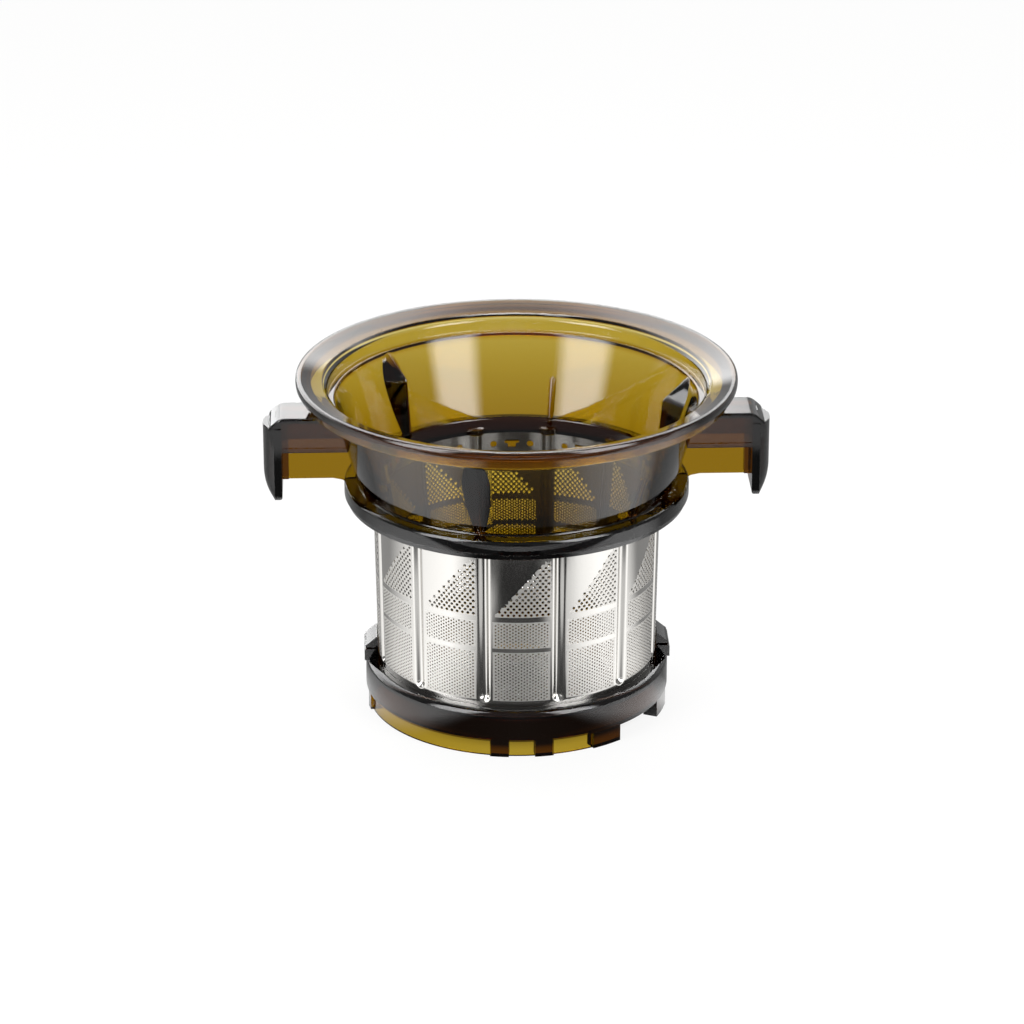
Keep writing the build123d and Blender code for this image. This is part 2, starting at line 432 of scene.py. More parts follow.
def apply_modifiers(thing: bpy.types.Object) -> None:
    """Replaces an object's mesh by its mesh with the modifiers applied.

    Args:
        thing: object that is changed.
    """
    graph = bpy.context.evaluated_depsgraph_get()
    data = bpy.data.meshes.new_from_object(thing.evaluated_get(graph))
    thing.modifiers.clear()
    old = thing.data
    thing.data = data
    bpy.data.meshes.remove(old)


def dress(
    thing: bpy.types.Object, material: bpy.types.Material, node: str, sharp: float = 30.0
) -> None:
    """Gives a piece its finish and its body, and hides the CAD node that it replaces.

    Args:
        thing: the piece.
        material: its finish.
        node: CAD node that the piece replaces.
        sharp: edges above this angle in degrees stay crisp.
    """
    thing.data.materials.clear()
    thing.data.materials.append(material)
    thing.data.shade_smooth()
    thing.data.set_sharp_from_angle(angle=math.radians(sharp))
    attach(thing, BODY)
    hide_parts(node)
    log.info("%s: %d faces", thing.name, len(thing.data.polygons))


class SheetFinish(IntEnum):
    """Finishes of the sheet, numbered as they sit on its meshes."""

    POLISHED = 0
    PUNCHED = 1
    DULL = 2


@dataclass
class Sleeve:
    """The punched screen: a tapered sleeve of thin sheet with pressed beads and fields of holes.

    Lengths are in millimetres, and heights start at the bottom of the base. A place on a panel is (u, z),
    with u as the distance round the sleeve from the panel's middle. The sheet's outside is polished but for
    the punched fields, and its inside is dull below the band of windows. The last sizes space the points
    that carry the sheet's curves; none lies within window_zone, the half width and height round the windows.
    """

    polished: bpy.types.Material
    punched: bpy.types.Material
    dull: bpy.types.Material
    bottom: float = 12.4
    top: float = 72.6
    bottom_radius: float = 44.4
    taper: float = 1.1
    sheet: float = 0.5
    panels: int = 12
    bead_width: float = 3.3
    bead_depth: float = 1.2
    bead_low: float = 17.0
    bead_shoulder: float = 1.25
    bead_fullness: float = 0.8
    field_half_width: float = 8.9
    field_margin: float = 0.2
    column_step: float = 0.9
    fine_step: float = 1.11
    fine_hole: float = 0.6
    fine_fields: tuple[Point, ...] = ((35.6, 44.2), (17.6, 33.9))
    coarse_low: float = 46.8
    coarse_rows: int = 17
    coarse_step: float = 1.05
    coarse_pitch: float = 1.8
    coarse_hole: float = 0.98
    coarse_inset: float = 0.5
    coarse_margin: float = 0.7
    slope_margin: float = 1.2
    hole_sides: int = 8
    window_height: float = 68.8
    window_band: float = 4.0
    window_zone: Point = (7.5, 1.8)
    tee_half: float = 2.4
    tee_rise: float = 1.3
    stem_half: float = 1.3
    pin_radius: float = 1.1
    pin_offset: float = 6.0
    grid_step: float = 1.2
    foot_rows: tuple[float, ...] = (14.0, 15.5, 16.2)
    bead_end_row: float = 16.6
    bead_end_step: float = 0.35
    bead_end_rows: int = 9
    bead_zone: float = 0.75
    bead_columns: int = 8
    plain_columns: int = 18
    hole_clearance: float = 0.62

    def radius(self, z: float) -> float:
        """Outer radius of the plain sleeve at a height."""
        return self.bottom_radius + self.taper * (z - self.bottom) / (self.top - self.bottom)

    @property
    def half_width(self) -> float:
        """Half of a panel's width at the sleeve's mid height."""
        return math.pi / self.panels * self.radius((self.bottom + self.top) / 2)

    @property
    def field_border(self) -> float:
        """Distance from a panel's middle to the upright borders of its fields."""
        return self.field_half_width + self.field_margin

    @property
    def field_levels(self) -> list[float]:
        """Heights of the level borders of the fields.

        Returns:
            The coarse field's lower border, then both borders of each fine field.
        """
        margin = self.field_margin
        fine = [z for low, high in self.fine_fields for z in (low - margin, high + margin)]
        return [self.coarse_low - self.coarse_margin] + fine

    def sink(self, u: float, z: float) -> float:
        """How far a bead presses the sheet inward at a place on the panel.

        Args:
            u: distance round the sleeve from the panel's middle.
            z: height.

        Returns:
            Depth in millimetres, 0 away from the beads.
        """
        across = self.half_width - abs(u)
        beyond = max(0.0, self.bead_low + self.bead_width / 2 - z)
        distance = math.hypot(across, beyond)
        reach = self.bead_width / 2 * self.bead_shoulder
        if distance >= reach:
            return 0.0
        return self.bead_depth * (0.5 + 0.5 * math.cos(math.pi * distance / reach)) ** self.bead_fullness

    def place(self, u: float, z: float, inset: float) -> Vector:
        """Point of the sheet in space, with the front panel's middle at -Y.

        Args:
            u: distance round the sleeve from the panel's middle.
            z: height.
            inset: how far the point lies below the sheet's outer face.

        Returns:
            The point in millimetres.
        """
        depth = self.radius(z) - self.sink(u, z) - inset
        angle = math.pi / self.panels * u / self.half_width
        return Vector((depth * math.sin(angle), -depth * math.cos(angle), z))

    def in_field(self, u: float, z: float) -> bool:
        """Whether a place on the panel lies in a field of holes.

        Args:
            u: distance round the sleeve from the panel's middle.
            z: height.

        Returns:
            True where it does.
        """
        if abs(u) > self.field_border:
            return False
        if any(low - self.field_margin <= z <= high + self.field_margin for low, high in self.fine_fields):
            return True
        row = (z - self.coarse_low) / self.coarse_step
        if row < -self.coarse_margin / self.coarse_step or row > self.coarse_rows:
            return False
        width = (self.coarse_rows - row + self.slope_margin) / 2 * self.coarse_pitch
        return u > self.field_half_width - self.coarse_inset - width

    def hole_centres(self) -> list[tuple[float, float, float]]:
        """Every hole of one panel.

        Returns:
            Holes as (u, z, diameter).
        """
        holes = []
        columns = int(self.field_half_width / self.column_step)
        for low, high in self.fine_fields:
            rows = int((high - low) / self.fine_step)
            for column in range(-columns, columns + 1):
                shift = self.fine_step / 2 if column % 2 else 0.0
                for row in range(rows + (0 if column % 2 else 1)):
                    z = low + self.fine_hole / 2 + shift + row * self.fine_step
                    holes.append((column * self.column_step, z, self.fine_hole))
        for row in range(self.coarse_rows):
            count = (self.coarse_rows - row) / 2 + 1
            right = self.field_half_width - self.coarse_inset - (self.coarse_pitch / 2 if row % 2 else 0.0)
            z = self.coarse_low + row * self.coarse_step
            for column in range(int(count)):
                holes.append((right - column * self.coarse_pitch, z, self.coarse_hole))
        return holes

    def windows(self) -> list[Outline]:
        """The windows of one panel.

        Returns:
            Outlines of the T window and of the two pin windows.
        """
        z = self.window_height
        low, middle, high = z - self.tee_rise, z + 0.1, z + self.tee_rise
        wide, stem = self.tee_half, self.stem_half
        tee = rounded([
            (-wide, high, 0.4), (-wide, middle, 0.4), (-stem, z, 0.3), (-stem, low, 0.3),
            (stem, low, 0.3), (stem, z, 0.3), (wide, middle, 0.4), (wide, high, 0.4),
        ], 3)
        pins = [
            [
                (side * self.pin_offset + self.pin_radius * math.cos(a), z + self.pin_radius * math.sin(a))
                for a in (2 * math.pi * k / 16 for k in range(16))
            ]
            for side in (-1, 1)
        ]
        return [tee, *pins]

    def grid(self) -> list[Point]:
        """Points of the plain sheet: closer together on the beads, and left out where openings are near.

        Returns:
            The points.
        """
        half = self.half_width
        zone = self.bead_width * self.bead_zone
        bead = [half - zone * k / self.bead_columns for k in range(self.bead_columns + 1)]
        inner = bead[-1]
        plain = [inner - (2 * inner) * k / self.plain_columns for k in range(1, self.plain_columns)]
        columns = sorted({*bead, *plain, *(-u for u in bead), -self.field_border, self.field_border})
        rows = [self.bottom, *self.foot_rows]
        rows += [self.bead_end_row + self.bead_end_step * k for k in range(self.bead_end_rows)]
        z = rows[-1] + self.grid_step
        while z < self.top - 0.5:
            rows.append(z)
            z += self.grid_step
        rows += [self.top, *self.field_levels]
        kept_rows = [self.bottom, self.top, *self.field_levels]
        centres = self.hole_centres()
        near = self.coarse_hole * self.hole_clearance
        points = []
        for z in rows:
            for u in columns:
                fixed = z in kept_rows or abs(abs(u) - half) < 1e-6
                crowded = any(abs(u - cu) < near and abs(z - cz) < near for cu, cz, _ in centres)
                by_window = abs(u) < self.window_zone[0] and abs(z - self.window_height) < self.window_zone[1]
                if fixed or not (crowded or by_window):
                    points.append((u, z))
        return points

    def border_edges(self, points: list[Point]) -> list[tuple[int, int]]:
        """Edges along the panel's sides and along the level borders of its fields.

        Args:
            points: every point of the panel.

        Returns:
            Pairs of point numbers.
        """
        edges = []
        sides = [(0, -self.half_width), (0, self.half_width), (1, self.bottom), (1, self.top)]
        for axis, value in sides + [(1, level) for level in self.field_levels]:
            on_line = [i for i, point in enumerate(points) if abs(point[axis] - value) < 1e-6]
            on_line.sort(key=lambda i: points[i][1 - axis])
            edges.extend(zip(on_line, on_line[1:]))
        return edges

    def flat_panel(self) -> tuple[list[Point], list[tuple[int, ...]], list[list[int]]]:
        """Triangulates one panel with its holes.

        Returns:
            Points, triangles and the loops of the openings.
        """
        points: list[Point] = []
        edges: list[tuple[int, int]] = []
        loops: list[list[int]] = []
        angles = [2 * math.pi * (k + 0.5) / self.hole_sides for k in range(self.hole_sides)]
        holes = [
            [(u + size / 2 * math.cos(a), z + size / 2 * math.sin(a)) for a in angles]
            for u, z, size in self.hole_centres()
        ]
        windows = self.windows()
        for outline in holes + windows:
            ring = list(range(len(points), len(points) + len(outline)))
            points.extend(outline)
            loops.append(ring)
            edges.extend(zip(ring, ring[1:] + ring[:1]))
        points.extend(self.grid())
        edges.extend(self.border_edges(points))
        verts, _, faces, origins, _, _ = delaunay_2d_cdt([Vector(p) for p in points], edges, [], 0, 1e-5)
        renumbered = {old: new for new, olds in enumerate(origins) for old in olds}
        open_rings = [[renumbered[i] for i in ring] for ring in loops]
        member = {vertex: number for number, ring in enumerate(open_rings) for vertex in ring}
        kept = []
        for face in faces:
            owners = {member.get(v, -1) for v in face}
            number = owners.pop() if len(owners) == 1 else -1
            within_hole = 0 <= number < len(holes)
            if within_hole or (number >= len(holes) and inside(windows[number - len(holes)], verts, face)):
                continue
            kept.append(tuple(face))
        log.info("panel: %d points, %d triangles, %d openings", len(verts), len(kept), len(loops))
        return [(v.x, v.y) for v in verts], kept, open_rings

    def shape(self) -> list[bpy.types.Object]:
        """Shapes the sleeve in two halves of six panels each.

        Returns:
            The two objects.
        """
        points, faces, rings = self.flat_panel()
        zones = []
        for face in faces:
            u, z = (sum(points[v][axis] for v in face) / 3 for axis in (0, 1))
            outer = SheetFinish.PUNCHED if self.in_field(u, z) else SheetFinish.POLISHED
            in_band = z > self.window_height - self.window_band
            zones.append((outer.value, (SheetFinish.POLISHED if in_band else SheetFinish.DULL).value))
        ends = []
        for height in (self.bottom, self.top):
            row = [i for i, (_, z) in enumerate(points) if abs(z - height) < 1e-4]
            row.sort(key=lambda i: points[i][0])
            ends.append(row if height == self.bottom else row[::-1])
        pieces = []
        for half, name in enumerate(("screen_front", "screen_back")):
            mesh = bmesh.new()
            for index in range(self.panels // 2):
                turn = (index + half * self.panels / 2) * 360 / self.panels - 90
                spin = Matrix.Rotation(math.radians(turn), 3, "Z")
                skin, lining = (
                    [mesh.verts.new(spin @ self.place(u, z, inset)) for u, z in points]
                    for inset in (0.0, self.sheet)
                )
                for (a, b, c), (outer, inner) in zip(faces, zones):
                    mesh.faces.new((skin[a], skin[b], skin[c])).material_index = outer
                    mesh.faces.new((lining[c], lining[b], lining[a])).material_index = inner
                for ring in rings:
                    for a, b in zip(ring, ring[1:] + ring[:1]):
                        mesh.faces.new((skin[a], skin[b], lining[b], lining[a]))
                for row in ends:
                    for a, b in zip(row, row[1:]):
                        mesh.faces.new((skin[a], lining[a], lining[b], skin[b]))
            bmesh.ops.remove_doubles(mesh, verts=mesh.verts, dist=1e-4)
            pieces.append(to_object(mesh, name))
        return pieces

    def build(self) -> None:
        """Shapes the sleeve and dresses both halves."""
        for piece in self.shape():
            zones = [face.material_index for face in piece.data.polygons]
            dress(piece, self.polished, "screen", 35.0)
            piece.data.materials.append(self.punched)
            piece.data.materials.append(self.dull)
            piece.data.polygons.foreach_set("material_index", zones)


@dataclass
class Hopper:
    """The funnel moulding with its rim, blades, collar and two handles.

    Lengths are in millimetres, and heights start at the bottom of the base. Blades and ribs are sunk into the
    wall so that they join it, and start foot_drop below its foot.
    """

    material: bpy.types.Material
    hub_low: float = 66.5
    hub_radius: float = 48.0
    collar_low: float = 69.0
    collar_high: float = 75.6
    collar_radius: float = 54.5
    seat_top: float = 72.6
    sleeve_radius: float = 45.5
    throat_radius: float = 48.5
    throat_z: float = 76.2
    wall: float = 1.9
    mouth_radius: float = 57.2
    mouth_z: float = 103.0
    lip_radius: float = 59.3
    lip_top: float = 106.6
    flange_in: float = 61.2
    flange_in_z: float = 108.12
    flange_out: float = 68.2
    rim_radius: float = 69.3
    rim_top: float = 110.42
    bead_height: float = 3.0
    skirt_low: float = 104.32
    skirt_radius: float = 67.2
    skirt_wall: float = 1.0
    flange_wall: float = 1.15
    blade_angles: tuple[float, ...] = (15.0, 135.0, 255.0)
    blade_reach: float = 6.0
    blade_half: float = 4.5
    blade_foot: float = 1.6
    blade_start: float = 2.0
    blade_peak: float = 18.3
    rib_angles: tuple[float, ...] = (75.0, 195.0, 315.0)
    rib_length: float = 14.2
    rib_half: float = 1.3
    rib_reach: Point = (1.7, 1.0)
    rib_round: float = 1.5
    handle_reach: float = 79.8
    hood_half: float = 8.0
    hood_top: float = 98.42
    hood_low: float = 87.22
    hood_corner: float = 3.4
    border: float = 1.4
    tab_low: float = 71.02
    tab_edge: float = 2.4
    tab_bulge: float = 3.5
    pad_height: float = 9.0
    tab_tip: float = 1.3
    tab_taper: float = 1.2
    channel_wall: float = 2.6
    hood_roof: float = 2.0
    web_low: float = 75.92
    web_half: float = 1.1
    web_foot: tuple[Point, Point] = ((50.0, 73.0), (53.8, 74.4))
    post_half: float = 2.2
    cap_radius: float = 46.2
    cap_depth: float = 3.0
    cap_half: float = 2.75
    cap_height: float = 1.9
    root: float = 52.6
    sunk: float = 1.2
    foot_drop: float = 0.9
    beads: int = 12

    def funnel(self) -> bmesh.types.BMesh:
        """Rim, flange, lip, wall, ledge and collar, turned in one.

        Returns:
            The solid. Its corners are (radius, height, rounding).
        """
        bore = self.sleeve_radius - 0.05
        collar = [
            (bore, self.hub_low, 0.0),
            (self.hub_radius, self.hub_low, 0.6),
            (self.hub_radius, self.collar_low, 0.5),
            (self.collar_radius - 1.0, self.collar_low, 0.6),
            (self.collar_radius - 0.35, self.collar_low + 1.7, 0.3),
            (self.collar_radius, self.collar_low + 2.0, 0.5),
            (self.collar_radius, self.collar_high, 1.3),
        ]
        outside = [
            (self.throat_radius + self.wall + 0.35, self.collar_high, 0.25),
            (self.throat_radius + self.wall + 0.15, self.collar_high + 0.5, 0.2),
            (self.mouth_radius + 0.65, self.mouth_z - 1.9, 2.6),
            (self.lip_radius + self.flange_wall, self.mouth_z - 0.9, 1.2),
            (self.lip_radius + self.flange_wall, self.flange_in_z - self.flange_wall, 0.9),
        ]
        rim = [
            (self.skirt_radius - 2.2, self.rim_top - 1.05 - self.flange_wall, 0.5),
            (self.skirt_radius - self.skirt_wall, self.rim_top - self.bead_height - 0.3, 0.5),
            (self.skirt_radius - self.skirt_wall, self.skirt_low, 0.35),
            (self.skirt_radius, self.skirt_low, 0.6),
            (self.flange_out - 0.25, self.rim_top - self.bead_height, 0.25),
            (self.rim_radius - 0.15, self.rim_top - self.bead_height, 0.9),
            (self.rim_radius, self.rim_top - self.bead_height / 2, 2.0),
            (self.rim_radius - 0.2, self.rim_top, 1.2),
            (self.flange_out - 0.6, self.rim_top - 0.12, 0.9),
            (self.flange_in, self.flange_in_z, 2.0),
        ]
        inside_wall = [
            (self.lip_radius, self.lip_top - 0.2, 1.4),
            (self.lip_radius, self.mouth_z, 0.35),
            (self.mouth_radius, self.mouth_z, 0.6),
            (self.throat_radius, self.throat_z, 0.8),
            (self.sleeve_radius - 0.5, self.seat_top, 0.0),
            (bore, self.seat_top, 0.0),
        ]
        return lathe(rounded(collar + outside + rim + inside_wall, 6), 288)

    def wall_frame(self, angle: float) -> Matrix:
        """Frame on the inner wall's foot: first axis inward, second up the wall, third round it.

        Args:
            angle: place round the funnel in degrees, from +X towards +Y.

        Returns:
            The frame.
        """
        rise = Vector((self.mouth_radius - self.throat_radius, 0, self.mouth_z - self.throat_z)).normalized()
        inward = Vector((-rise.z, 0, rise.x))
        frame = Matrix((inward, rise, inward.cross(rise))).transposed().to_4x4()
        frame.translation = Vector((self.throat_radius, 0, self.throat_z))
        return Matrix.Rotation(math.radians(angle), 4, "Z") @ frame

    def blade(self, angle: float) -> bmesh.types.BMesh:
        """Shark-fin blade: teardrop foot, crisp ridge, highest near its top and pointed at both ends.

        Args:
            angle: place round the funnel in degrees, from +X towards +Y.

        Returns:
            The solid.
        """
        length = math.hypot(self.mouth_radius - self.throat_radius, self.mouth_z - self.throat_z) - 0.3
        sections = []
        for row in range(33):
            y = -self.foot_drop + (length + self.foot_drop) * row / 32
            if y < self.blade_peak:
                share = max(0.0, y) / self.blade_peak
                reach = self.blade_start + (self.blade_reach - self.blade_start) * share
                half = self.blade_foot + (self.blade_half - self.blade_foot) * math.sin(math.pi / 2 * share)
            else:
                share = (y - self.blade_peak) / (length - self.blade_peak)
                reach = self.blade_reach * (1 - share) - 0.1 * share
                half = max(0.2, self.blade_half * math.sqrt(max(0.0, 1 - share**2)))
            ridge = min(0.35, half * 0.4)
            flank = half * 0.5 + ridge * 0.4
            crest = reach * 0.98
            sections.append((y, [
                (-self.sunk, -half), (0.0, -half), (reach * 0.5, -flank), (crest, -ridge), (reach, 0.0),
                (crest, ridge), (reach * 0.5, flank), (0.0, half), (-self.sunk, half),
            ]))
        frame = self.wall_frame(angle)
        return loft([[frame @ Vector((x, y, v)) for x, v in outline] for y, outline in sections])

    def low_rib(self, angle: float) -> bmesh.types.BMesh:
        """Low round-backed rib at the foot of the wall, with a rounded top end.

        Args:
            angle: place round the funnel in degrees, from +X towards +Y.

        Returns:
            The solid.
        """
        frame = self.wall_frame(angle)
        loops = []
        for row in range(21):
            y = -self.foot_drop + (self.rib_length + self.foot_drop) * row / 20
            share = max(0.0, y) / self.rib_length
            beyond = (y - self.rib_length + self.rib_round) / self.rib_round
            dome = math.sqrt(max(0.0, 1 - max(0.0, beyond) ** 2))
            half = max(0.1, self.rib_half * (0.75 + 0.25 * share) * dome)
            reach = max(-0.1, (self.rib_reach[0] * (1 - share) + self.rib_reach[1] * share) * dome)
            back = [(reach * math.sin(a), -half * math.cos(a)) for a in (math.pi * k / 10 for k in range(11))]
            outline = [(-self.sunk, -half), *back, (-self.sunk, half)]
            loops.append([frame @ Vector((x, y, v)) for x, v in outline])
        return loft(loops)

    def tab(self) -> bmesh.types.BMesh:
        """Hanging finger tab with a bulging outer face that curves in to a rounded tip.

        Returns:
            The solid.
        """
        edge = self.handle_reach - self.tab_bulge
        inner = edge - self.tab_edge
        rows, across = 30, 16
        loops = []
        for row in range(rows + 1):
            share = row / rows
            z = self.tab_low + (self.hood_top - self.hood_corner - self.tab_low) * share**1.5
            rise = min(1.0, (z - self.tab_low) / self.pad_height)
            bulge = self.tab_bulge * math.sqrt(max(0.0, 1 - (1 - rise) ** 2))
            tip = 1 - math.sqrt(max(0.0, 1 - (1 - min(1.0, (z - self.tab_low) / self.tab_tip)) ** 2))
            half = self.hood_half - self.tab_taper * tip
            back = inner + 1.1 * tip
            loop = [(back, -half), (edge, -half)]
            for k in range(1, across):
                y = -half + 2 * half * k / across
                loop.append((edge + bulge * (1 - (y / half) ** 2), y))
            loop += [(edge, half), (back, half)]
            loops.append([Vector((x, y, z)) for x, y in loop])
        return loft(loops)

    def handle_parts(self) -> tuple[bmesh.types.BMesh, bmesh.types.BMesh, list[bmesh.types.BMesh]]:
        """Solids of the handle on +X.

        Returns:
            The hood, the space inside its channel, and what is added after that space is cut.
        """
        edge = self.handle_reach - self.tab_bulge
        inner = edge - self.tab_edge
        root, corner = self.root, self.hood_corner
        side = self.hood_half - 0.35
        hood = prism(rounded([
            (root, self.hood_low + 0.2, 0.0),
            (edge, self.hood_low + 0.2, 0.3),
            (self.handle_reach - corner * 0.45, self.hood_top - corner, 2.4),
            (self.handle_reach - corner * 1.6, self.hood_top, 4.0),
            (root, self.hood_top, 0.0),
        ], 6), -side, side)
        crest = [
            e for e in hood.edges
            if abs(e.verts[0].co.y - e.verts[1].co.y) < 1e-6
            and min(e.verts[0].co.z, e.verts[1].co.z) > self.hood_top - corner - 0.5
            and e.verts[0].co.x + e.verts[1].co.x > 2 * root + 1
        ]
        bmesh.ops.bevel(hood, geom=crest, offset=0.6, segments=3, affect="EDGES")
        channel = prism([
            (root, self.hood_low - 1), (inner, self.hood_low - 1),
            (inner, self.hood_top - self.hood_roof), (root, self.hood_top - self.hood_roof),
        ], -self.hood_half + self.channel_wall, self.hood_half - self.channel_wall)
        borders = [
            prism(rounded([
                (root, self.hood_low, 0.3), (edge - 0.3, self.hood_low, 0.0),
                (edge - 0.3, self.hood_low + self.border, 0.0), (root, self.hood_low + self.border, 0.4),
            ], 4), *sorted((sign * self.hood_half, sign * (self.hood_half - 1.8))))
            for sign in (-1, 1)
        ]
        (web_root, foot_low), (foot_out, foot_high) = self.web_foot
        web = prism(rounded([
            (web_root, self.hood_top - 1.0, 0.0),
            (web_root, foot_low, 0.0),
            (foot_out, foot_high, 0.0),
            (55.0, self.web_low - 0.6, 1.5),
            (58.0, self.web_low, 2.0),
            (edge - 0.5, self.web_low, 0.0),
            (edge - 0.5, self.hood_top - 1.0, 0.0),
        ], 5), -self.web_half, self.web_half)
        post = prism([
            (inner - 2.0, self.web_low + 0.2), (edge - 0.5, self.web_low + 0.2),
            (edge - 0.5, self.hood_top - 1.0), (inner - 2.0, self.hood_top - 1.0),
        ], -self.post_half, self.post_half)
        return hood, channel, [self.tab(), web, post] + borders

    def bowl(self) -> bmesh.types.BMesh:
        """Space inside the funnel, with which the handles are trimmed.

        Returns:
            The solid.
        """
        inset = self.wall / 2
        axis, above = 0.01, self.rim_top + 10
        return lathe([
            (axis, self.collar_low), (self.throat_radius + inset, self.collar_low),
            (self.throat_radius + inset, self.throat_z), (self.mouth_radius + inset, self.mouth_z),
            (self.mouth_radius + inset, above), (axis, above),
        ], 128)

    def caps(self) -> list[bmesh.types.BMesh]:
        """Small arches of plastic that close the top end of each bead on the throat's slope.

        Returns:
            One solid for each bead.
        """
        arc = [math.pi * k / 12 for k in range(13)]
        outline = [(self.cap_radius - self.cap_depth * math.sin(a), self.cap_half * math.cos(a)) for a in arc]
        low, high = self.seat_top - 0.05, self.seat_top + self.cap_height
        turns = (math.tau * (index + 0.5) / self.beads for index in range(self.beads))
        return [prism(outline, low, high, Matrix.Rotation(turn, 4, "Z")) for turn in turns]

    def shape(self) -> bpy.types.Object:
        """Shapes the hopper.

        Returns:
            The object.
        """
        thing = to_object(self.funnel(), "hopper_moulding")
        hood, channel, rest = self.handle_parts()
        handle = to_object(hood, "handle")
        combine(handle, [channel], Join.CUT)
        combine(handle, rest, Join.ADD)
        combine(handle, [self.bowl()], Join.CUT)
        right = bmesh.new()
        right.from_mesh(handle.data)
        bmesh.ops.scale(right, vec=(1 / MM,) * 3, verts=right.verts)
        bpy.data.objects.remove(handle, do_unlink=True)
        left = spun(right, 180)
        ribs = [self.blade(a) for a in self.blade_angles] + [self.low_rib(a) for a in self.rib_angles]
        combine(thing, [right, left] + ribs + self.caps(), Join.ADD)
        return thing

    def build(self) -> None:
        """Shapes the hopper and dresses it."""
        dress(self.shape(), self.material, "hopper", 32.0)


@dataclass
class Base:
    """The base ring with its ledge, floor, lugs and toothed skirt.

    Lengths are in millimetres, and angles are in degrees from the front towards +X. Skirt, outlet and spout
    are given as inner and outer radius, and their arcs as start and end.
    """

    material: bpy.types.Material
    radius: float = 48.4
    ledge: float = 15.5
    wall_low: float = 5.2
    groove_low: float = 12.4
    groove_out: float = 44.46
    groove_in: float = 43.9
    inner: float = 41.9
    floor_top: float = 13.9
    floor_low: float = 11.4
    boss_radius: float = 17.0
    bore: float = 13.0
    boss_top: float = 17.9
    wall_inner: float = 43.8
    skirt: Point = (46.1, 47.5)
    skirt_arc: Point = (-80.0, 40.5)
    teeth: tuple[Point, ...] = ((-11.9, -4.9), (4.9, 11.9), (28.0, 40.5), (-80.0, -76.5), (65.5, 78.0))
    outlet: Point = (21.5, 38.5)
    outlet_arc: Point = (154.0, 206.0)
    spout: Point = (19.7, 40.3)
    spout_arc: Point = (150.4, 209.6)
    spout_low: float = 2.6
    lug_root: float = 44.5
    lug_half: float = 6.25
    lug_step: float = 3.3
    lug_top_half: float = 5.5
    lug_rise: Point = (4.3, 7.5)

    def ring(self) -> bmesh.types.BMesh:
        """Ledge, outer wall, floor and boss, turned in one.

        Returns:
            The solid.
        """
        return lathe(rounded([
            (self.bore, self.floor_low, 0.3),
            (self.wall_inner, self.floor_low, 0.4),
            (self.wall_inner, self.wall_low, 0.2),
            (self.radius, self.wall_low, 0.3),
            (self.radius, self.ledge, 2.0),
            (self.groove_out, self.ledge, 0.1),
            (self.groove_out, self.groove_low, 0.0),
            (self.groove_in, self.groove_low, 0.0),
            (self.groove_in, self.ledge, 0.1),
            (self.inner, self.ledge, 0.5),
            (self.inner, self.floor_top, 0.5),
            (self.boss_radius, self.floor_top, 1.0),
            (self.boss_radius, self.boss_top, 0.5),
            (self.bore, self.boss_top, 0.5),
        ], 5), 256)

    def lug(self) -> list[bmesh.types.BMesh]:
        """Stepped lug beside the sleeve on +X.

        Returns:
            Its lower and upper step.
        """
        out = self.radius + 0.45
        step = self.ledge + self.lug_step
        foot = prism(rounded([
            (self.lug_root, self.ledge - 0.5, 0.0), (out, self.ledge - 0.5, 0.0),
            (out, step, 0.4), (self.lug_root, step, 0.0),
        ], 3), -self.lug_half, self.lug_half)
        root = self.lug_root + 0.05
        top = prism(rounded([
            (root, step - 0.3, 0.0), (out - 0.4, step - 0.3, 0.0),
            (out - 0.4, self.ledge + self.lug_rise[0], 0.3), (root, self.ledge + self.lug_rise[1], 0.3),
        ], 3), -self.lug_top_half, self.lug_top_half)
        return [foot, top]

    def shape(self) -> bpy.types.Object:
        """Shapes the base.

        Returns:
            The object.
        """
        thing = to_object(self.ring(), "base_moulding")
        solids = [ring_part(self.spout, (self.spout_low, self.floor_low + 0.5), self.spout_arc)]
        foot = (0.0, self.wall_low + 0.6)
        tooth = (self.wall_inner + 0.02, self.radius - 0.02)
        for side in (0.0, 180.0):
            start, end = self.skirt_arc
            solids.append(ring_part(self.skirt, foot, (start + side, end + side)))
            solids += [ring_part(tooth, foot, (start + side, end + side)) for start, end in self.teeth]
        for piece in self.lug():
            solids += [spun(piece, 0), spun(piece, 180)]
            piece.free()
        combine(thing, solids, Join.ADD)
        through = (1.0, self.boss_top + 2.1)
        combine(thing, [ring_part(self.outlet, through, self.outlet_arc)], Join.CUT)
        return thing

    def build(self) -> None:
        """Shapes the base and dresses it."""
        dress(self.shape(), self.material, "base", 32.0)


@dataclass(frozen=True)
class Fade:
    """A smooth change of a value, from low at start to high at end."""

    start: float
    end: float
    low: float
    high: float

    def add(self, tree: bpy.types.NodeTree, source: bpy.types.NodeSocket) -> bpy.types.NodeSocket:
        """Adds the change to a node tree.

        Args:
            tree: node tree that takes it.
            source: socket of the value that it follows.

        Returns:
            The socket that gives the changed value.
        """
        node = add_node(
            tree, "ShaderNodeMapRange", {"Value": source}, interpolation_type="SMOOTHSTEP",
            From_Min=self.start, From_Max=self.end, To_Min=self.low, To_Max=self.high,
        )
        return node.outputs["Result"]


